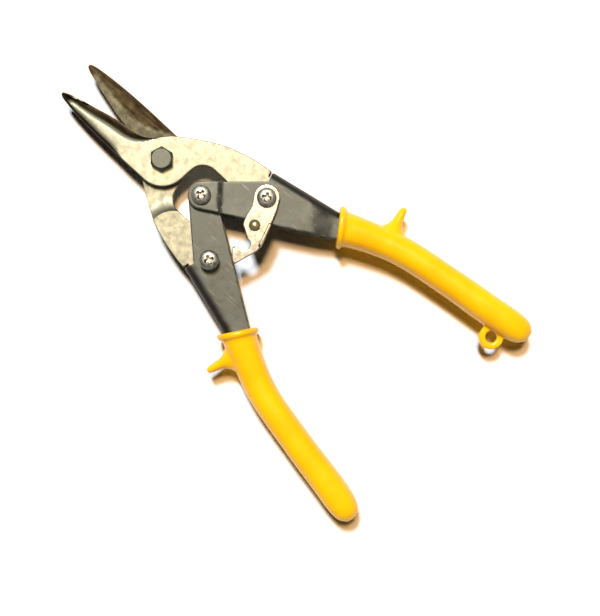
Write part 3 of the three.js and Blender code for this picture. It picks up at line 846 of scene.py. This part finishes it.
def fasteners():
    hex_bolt()
    nut("pivot_nut", "top_blade", BLADE_PIVOT, BOLT["flats"], BOLT_HOLE_R, BOLT["turn"])
    ring_part("pivot_washer", "top_blade", BLADE_PIVOT)
    for name, body, centre, turn in (
        ("right_tang", "right_handle", RIGHT_PIVOT, 0.5),
        ("left_tang", "left_handle", LEFT_PIVOT, 1.08),
        ("centre", "right_handle", CENTRE_PIVOT, 0.17),
    ):
        cross_screw(f"{name}_screw", body, centre, turn)
        nut(f"{name}_nut", body, centre, NUT_FLATS, PIN_HOLE_R, math.degrees(turn))
    for where in ("front", "rear"):
        ring_part(f"tang_spacer_{where}", "right_handle", RIGHT_PIVOT)
        ring_part(f"centre_washer_{where}", "right_handle", CENTRE_PIVOT)
    ring_part("centre_sleeve", "right_handle", CENTRE_PIVOT)
    ring_part("latch_washer", "latch_washer", RIGHT_PIVOT)


# ---- spring ----
SPRING = {"mean": 5.55, "wire": 0.75, "rise": 3.4, "turns": 3, "leg": 11.5, "leg_angle": math.radians(22)}


def spring():
    """A torsion spring of the kind whose coil winds up as the handles close, drawn as one fixed coil."""
    mean, rise, leg, start = (SPRING[key] for key in ("mean", "rise", "leg", "leg_angle"))
    sweep = math.pi - 2 * start + 2 * math.pi * SPRING["turns"]
    coil = mean * sweep
    line = []
    for run in np.linspace(0, coil + 2 * leg, 260):
        wound = np.clip(run - leg, 0, coil)
        angle = start + wound / mean
        past = run - leg if run < leg else max(0, run - leg - coil)
        line.append((CENTRE_PIVOT[0] + mean * math.cos(angle) - past * math.sin(angle),
                     CENTRE_PIVOT[1] + mean * math.sin(angle) + past * math.cos(angle),
                     SHEAR + rise - 2 * rise * wound / coil))
    line = np.array(line)
    ahead = np.gradient(line, axis=0)
    ahead /= np.linalg.norm(ahead, axis=1)[:, None]
    side = np.cross(ahead, (0, 0, 1))
    side /= np.linalg.norm(side, axis=1)[:, None]
    up = np.cross(side, ahead)
    angles = np.linspace(0, 2 * np.pi, 12, endpoint=False)
    sections = [p + SPRING["wire"] * (np.outer(np.cos(angles), s) + np.outer(np.sin(angles), u))
                for p, s, u in zip(line, side, up)]
    vertices, faces = tube(sections)
    faces = [f[::-1] for f in faces]
    made = piece("torsion_spring", vertices, faces, None, "spring_steel", ["spring"], sharp=60)
    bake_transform(made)


# ---- materials ----
class Shader:
    """A procedural material: its Principled node, and short calls for the nodes that feed it."""

    def __init__(self, name, **inputs):
        self.material = bpy.data.materials.new(name)
        self.material.use_nodes = True
        self.tree = self.material.node_tree
        self.surface = self.tree.nodes["Principled BSDF"]
        self.place = self.add("ShaderNodeTexCoord").outputs["Object"]
        for key, value in inputs.items():
            self.surface.inputs[key.replace("_", " ")].default_value = value

    def add(self, kind, **settings):
        node = self.tree.nodes.new(kind)
        for key, value in settings.items():
            setattr(node, key, value)
        return node

    def link(self, source, socket):
        self.tree.links.new(source, socket)
        return socket.node

    def feed(self, node, key, value):
        if isinstance(value, bpy.types.NodeSocket):
            self.link(value, node.inputs[key])
        else:
            node.inputs[key].default_value = value

    def mark(self, name):
        return self.add("ShaderNodeAttribute", attribute_name=name).outputs["Fac"]

    def noise(self, size, detail=4, rough=0.55, stretch=(1, 1, 1)):
        """Noise whose features are about size millimetres across."""
        mapping = self.add("ShaderNodeMapping")
        mapping.inputs["Scale"].default_value = stretch
        self.link(self.place, mapping.inputs["Vector"])
        node = self.add("ShaderNodeTexNoise")
        self.link(mapping.outputs["Vector"], node.inputs["Vector"])
        node.inputs["Scale"].default_value = 1 / (size * MM)
        node.inputs["Detail"].default_value = detail
        node.inputs["Roughness"].default_value = rough
        return node.outputs["Fac"]

    def remap(self, value, low, high, to_low=0.0, to_high=1.0):
        node = self.add("ShaderNodeMapRange", interpolation_type="SMOOTHSTEP")
        self.feed(node, "Value", value)
        for key, number in (("From Min", low), ("From Max", high), ("To Min", to_low), ("To Max", to_high)):
            node.inputs[key].default_value = number
        return node.outputs["Result"]

    def math(self, operation, a, b=0.0):
        node = self.add("ShaderNodeMath", operation=operation)
        self.feed(node, 0, a)
        self.feed(node, 1, b)
        return node.outputs["Value"]

    def mix(self, share, a, b):
        """Colour a where share is 0 and b where it is 1."""
        node = self.add("ShaderNodeMix", data_type="RGBA")
        self.feed(node, "Factor", share)
        for key, value in ((6, a), (7, b)):
            self.feed(node, key, (*value, 1) if isinstance(value, tuple) else value)
        return node.outputs[2]

    def colour(self, value):
        self.link(value, self.surface.inputs["Base Color"])

    def rough(self, value):
        self.link(value, self.surface.inputs["Roughness"])

    def bump(self, *layers):
        """Bump layers, each a height from 0 to 1 and its depth in millimetres."""
        previous = None
        for height, depth in layers:
            node = self.add("ShaderNodeBump")
            node.inputs["Distance"].default_value = depth * MM
            self.feed(node, "Height", height)
            if previous:
                self.link(previous, node.inputs["Normal"])
            previous = node.outputs["Normal"]
        self.link(previous, self.surface.inputs["Normal"])


def blade_steel():
    """Forged steel, blasted and lightly polished, with painted shade on its bevels, hollows, spine chamfers
    and tips, and a darker lap, scuffed where the blades rub and painted shade where it shows.
    """
    m = Shader("blade_steel", Metallic=1.0)
    grain, mottle, patch = m.noise(0.45, 3), m.noise(3.5, 5), m.noise(14, 4)
    bright = m.mix(m.remap(mottle, 0.3, 0.7), (0.288, 0.282, 0.208), (0.314, 0.308, 0.228))
    bright = m.mix(m.remap(grain, 0.42, 0.75, 0, 0.26), bright, (0.21, 0.2, 0.15))
    bright = m.mix(m.remap(patch, 0.5, 0.8, 0, 0.16), bright, (0.22, 0.205, 0.15))
    # painted shade: the bevels, hollows, spine chamfers and tips are painted nearly black, with streaks
    # along the grind
    streaks = m.noise(1.1, 4, 0.6, (1, 0.12, 1))
    dark = m.mix(m.remap(streaks, 0.3, 0.72), (0.012, 0.0084, 0.0042), (0.038, 0.0285, 0.0145))
    ragged = m.math("MULTIPLY", m.math("SUBTRACT", mottle, 0.5), 0.35)
    painted_shade = m.remap(m.math("ADD", m.mark("painted_shade"), ragged), 0.12, 0.85)
    # the lap: scuffed steel where the blades rub, and painted shade where it shows beyond the top blade's
    # hub and on the jaws' inner faces
    lap = m.mix(m.remap(grain, 0.35, 0.7), (0.045, 0.042, 0.026), (0.096, 0.092, 0.063))
    base = m.mix(m.mark("lap"), bright, lap)
    base = m.mix(painted_shade, base, dark)
    worn = m.math("MULTIPLY", m.remap(m.mark("rim"), 0.05, 0.4, 1, 0), m.remap(mottle, 0.2, 0.5))
    base = m.mix(m.math("MULTIPLY", worn, 0.7), base, (0.1, 0.083, 0.058))
    m.colour(base)
    m.rough(m.remap(m.math("ADD", mottle, m.math("MULTIPLY", grain, 0.4)), 0.45, 1.0, 0.46, 0.64))
    m.bump((grain, 0.03), (mottle, 0.03), (streaks, 0.02))
    return m.material


def dark_steel():
    """Blackened pressed sheet with a satin sheen, scratches, bare metal on its edges, and painted shade
    along its rounded back.
    """
    m = Shader("dark_steel", Metallic=0.85)
    grain, mottle, patch = m.noise(0.35, 3), m.noise(4, 6), m.noise(18, 3)
    base = m.mix(m.remap(mottle, 0.3, 0.7), (0.05, 0.055, 0.047), (0.08, 0.087, 0.077))
    base = m.mix(m.remap(patch, 0.45, 0.75, 0, 0.6), base, (0.108, 0.116, 0.105))
    scratches = m.remap(m.noise(0.8, 2, 0.5, (1.8, 0.05, 1)), 0.66, 0.73, 0, 0.35)
    base = m.mix(scratches, base, (0.42, 0.4, 0.35))
    # painted shade: the rounded back of the channel is painted nearly black
    fold = m.remap(m.mark("fold"), 2, 6.3, 0.85, 0)
    base = m.mix(fold, base, (0.022, 0.02, 0.017))
    worn = m.math("MULTIPLY", m.remap(m.mark("rim"), 0.08, 0.6, 1, 0), m.remap(mottle, 0.36, 0.62))
    base = m.mix(m.math("MULTIPLY", worn, 0.5), base, (0.3, 0.28, 0.22))
    m.colour(base)
    m.rough(m.remap(m.math("ADD", mottle, m.math("MULTIPLY", grain, 0.35)), 0.4, 1.0, 0.38, 0.58))
    m.bump((grain, 0.03), (mottle, 0.03))
    return m.material


def zinc_plate():
    m = Shader("zinc_plate", Metallic=1.0)
    grain, mottle = m.noise(0.5, 3), m.noise(3, 5)
    base = m.mix(m.remap(mottle, 0.35, 0.7), (0.32, 0.322, 0.305), (0.28, 0.28, 0.25))
    # painted shade: the plate's edges and the thumb tab's sides, all but its top, are painted darker
    base = m.mix(m.remap(m.mark("rim"), 0.02, 0.35, 0.6, 0), base, (0.12, 0.1, 0.07))
    # painted reflection: the dome and the thumb tab's top are tinted warm gold
    m.colour(m.mix(m.mark("stud"), base, (0.34, 0.285, 0.135)))
    m.rough(m.remap(mottle, 0.3, 0.75, 0.22, 0.38))
    m.bump((grain, 0.012), (mottle, 0.03))
    return m.material


def bolt_steel():
    """Dull plated steel whose rolled grain is dark in the pits."""
    m = Shader("bolt_steel", Metallic=1.0)
    grain, mottle = m.noise(0.5, 4), m.noise(2.2, 5)
    base = m.mix(m.remap(mottle, 0.32, 0.68), (0.055, 0.058, 0.048), (0.087, 0.093, 0.079))
    m.colour(m.mix(m.remap(grain, 0.55, 0.75, 0, 0.4), base, (0.037, 0.037, 0.029)))
    m.rough(m.remap(mottle, 0.3, 0.75, 0.4, 0.55))
    m.bump((grain, 0.025), (mottle, 0.03))
    return m.material


def fastener_steel():
    m = Shader("fastener_steel", Metallic=1.0)
    grain, mottle = m.noise(0.4, 4), m.noise(1.8, 5)
    base = m.mix(m.remap(mottle, 0.32, 0.68), (0.16, 0.157, 0.135), (0.3, 0.295, 0.262))
    m.colour(m.mix(m.remap(grain, 0.55, 0.75, 0, 0.5), base, (0.45, 0.44, 0.4)))
    m.rough(m.remap(mottle, 0.3, 0.75, 0.34, 0.5))
    m.bump((grain, 0.03), (mottle, 0.04))
    return m.material


def spring_steel():
    m = Shader("spring_steel", Metallic=1.0)
    mottle = m.noise(1.5, 4)
    m.colour(m.mix(m.remap(mottle, 0.3, 0.7), (0.16, 0.155, 0.145), (0.34, 0.33, 0.3)))
    m.rough(m.remap(mottle, 0.3, 0.7, 0.24, 0.4))
    m.bump((m.noise(0.3, 3), 0.015))
    return m.material


def grip_pvc():
    """Glossy vinyl with a faint orange peel, slightly deeper in colour here and there, and a few scuffs."""
    m = Shader("grip_pvc", Metallic=0.0, IOR=1.5, Specular_IOR_Level=0.3)
    patch, peel, dust = m.noise(16, 3), m.noise(1.4, 3), m.noise(0.6, 5)
    base = m.mix(m.remap(patch, 0.3, 0.7), (0.94, 0.5, 0.0004), (0.97, 0.56, 0.0008))
    base = m.mix(m.remap(dust, 0.64, 0.8, 0, 0.3), base, (0.74, 0.43, 0.02))
    m.colour(base)
    m.rough(m.remap(m.math("ADD", patch, m.math("MULTIPLY", dust, 0.3)), 0.4, 0.95, 0.2, 0.34))
    m.bump((peel, 0.05), (dust, 0.01))
    return m.material


def paint_pieces():
    """Each piece gets the material that its slot in the record names, and the pivot bolt a duller one."""
    makers = (blade_steel, dark_steel, zinc_plate, bolt_steel, fastener_steel, spring_steel, grip_pvc)
    finishes = {maker.__name__: maker() for maker in makers}
    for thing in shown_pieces():
        thing.data.materials.clear()
        dull = thing.name.startswith("hex_bolt")
        thing.data.materials.append(finishes["bolt_steel" if dull else thing["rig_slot"]])


# ---- floor, lights and camera ----
CAMERA = {"x": -7.6, "y": -96.4, "height": 600, "lens": 73.05, "sensor": 36}
UP = Vector((0.7349, 0.6782, 0))  # the direction that is up in the picture
FLOOR_HALF = 6  # metres
LAMP_DISTANCE = 12  # metres


def lay_floor():
    mesh = bpy.data.meshes.new("floor")
    corners = ((-1, -1), (1, -1), (1, 1), (-1, 1))
    mesh.from_pydata([(FLOOR_HALF * x, FLOOR_HALF * y, 0) for x, y in corners], [], [(0, 1, 2, 3)])
    floor = bpy.data.objects.new("floor", mesh)
    bpy.context.scene.collection.objects.link(floor)
    paper = bpy.data.materials.new("paper")
    paper.use_nodes = True
    surface = paper.node_tree.nodes["Principled BSDF"]
    surface.inputs["Base Color"].default_value = (0.91, 0.905, 0.93, 1)
    surface.inputs["Roughness"].default_value = 0.8
    mesh.materials.append(paper)
    floor.location.z = -0.0004


def studio():
    # the default transform bleaches strong yellows
    bpy.context.scene.view_settings.view_transform = "Standard"
    world = bpy.data.worlds.new("studio")
    bpy.context.scene.world = world
    world.use_nodes = True
    room = world.node_tree.nodes["Background"]
    room.inputs["Color"].default_value = (0.96, 1, 0.94, 1)
    room.inputs["Strength"].default_value = 0.42
    # the room shows only in glossy surfaces, and the lamps do the lighting
    world.cycles_visibility.diffuse = False
    # beyond the floor, the camera sees a paler backdrop
    nodes, links = world.node_tree.nodes, world.node_tree.links
    backdrop, chosen = nodes.new("ShaderNodeBackground"), nodes.new("ShaderNodeMixShader")
    backdrop.inputs["Color"].default_value = (0.93, 0.92, 0.9, 1)
    links.new(nodes.new("ShaderNodeLightPath").outputs["Is Camera Ray"], chosen.inputs["Fac"])
    links.new(room.outputs["Background"], chosen.inputs[1])
    links.new(backdrop.outputs["Background"], chosen.inputs[2])
    links.new(chosen.outputs["Shader"], nodes["World Output"].inputs["Surface"])
    lamp("window", (0.56, 0.85, 2.15), 1.38, 1512, (0.84, 0.94, 1))
    lamp("bulb", (0.59, 0.53, 2.6), 1.5, 1044, (1, 0.62, 0.28))


def lamp(name, towards, size, power, colour):
    """A square lamp that looks at the middle of the object from far enough to light the floor evenly."""
    light = bpy.data.lights.new(name, "AREA")
    light.size, light.energy, light.color = size, power, colour
    thing = bpy.data.objects.new(name, light)
    bpy.context.scene.collection.objects.link(thing)
    aim = (cad_box[0] + cad_box[1]) / 2
    direction = Vector(towards).normalized()
    thing.location = aim + direction * LAMP_DISTANCE
    thing.rotation_mode = "QUATERNION"
    thing.rotation_quaternion = (-direction).to_track_quat("-Z", "Y")


def camera():
    """A camera that looks straight down, with the object turned as in the photograph."""
    data = bpy.data.cameras.new("camera")
    data.lens, data.sensor_width = CAMERA["lens"], CAMERA["sensor"]
    thing = bpy.data.objects.new("camera", data)
    bpy.context.scene.collection.objects.link(thing)
    thing.location = Vector((CAMERA["x"], CAMERA["y"], SHEAR + CAMERA["height"])) * MM
    right = UP.cross(Vector((0, 0, 1)))
    thing.rotation_mode = "QUATERNION"
    thing.rotation_quaternion = Matrix((right, UP, (0, 0, 1))).transposed().to_quaternion()
    bpy.context.scene.camera = thing


blades()
handles()
grips()
latch()
fasteners()
spring()
paint_pieces()
lay_floor()
studio()
camera()
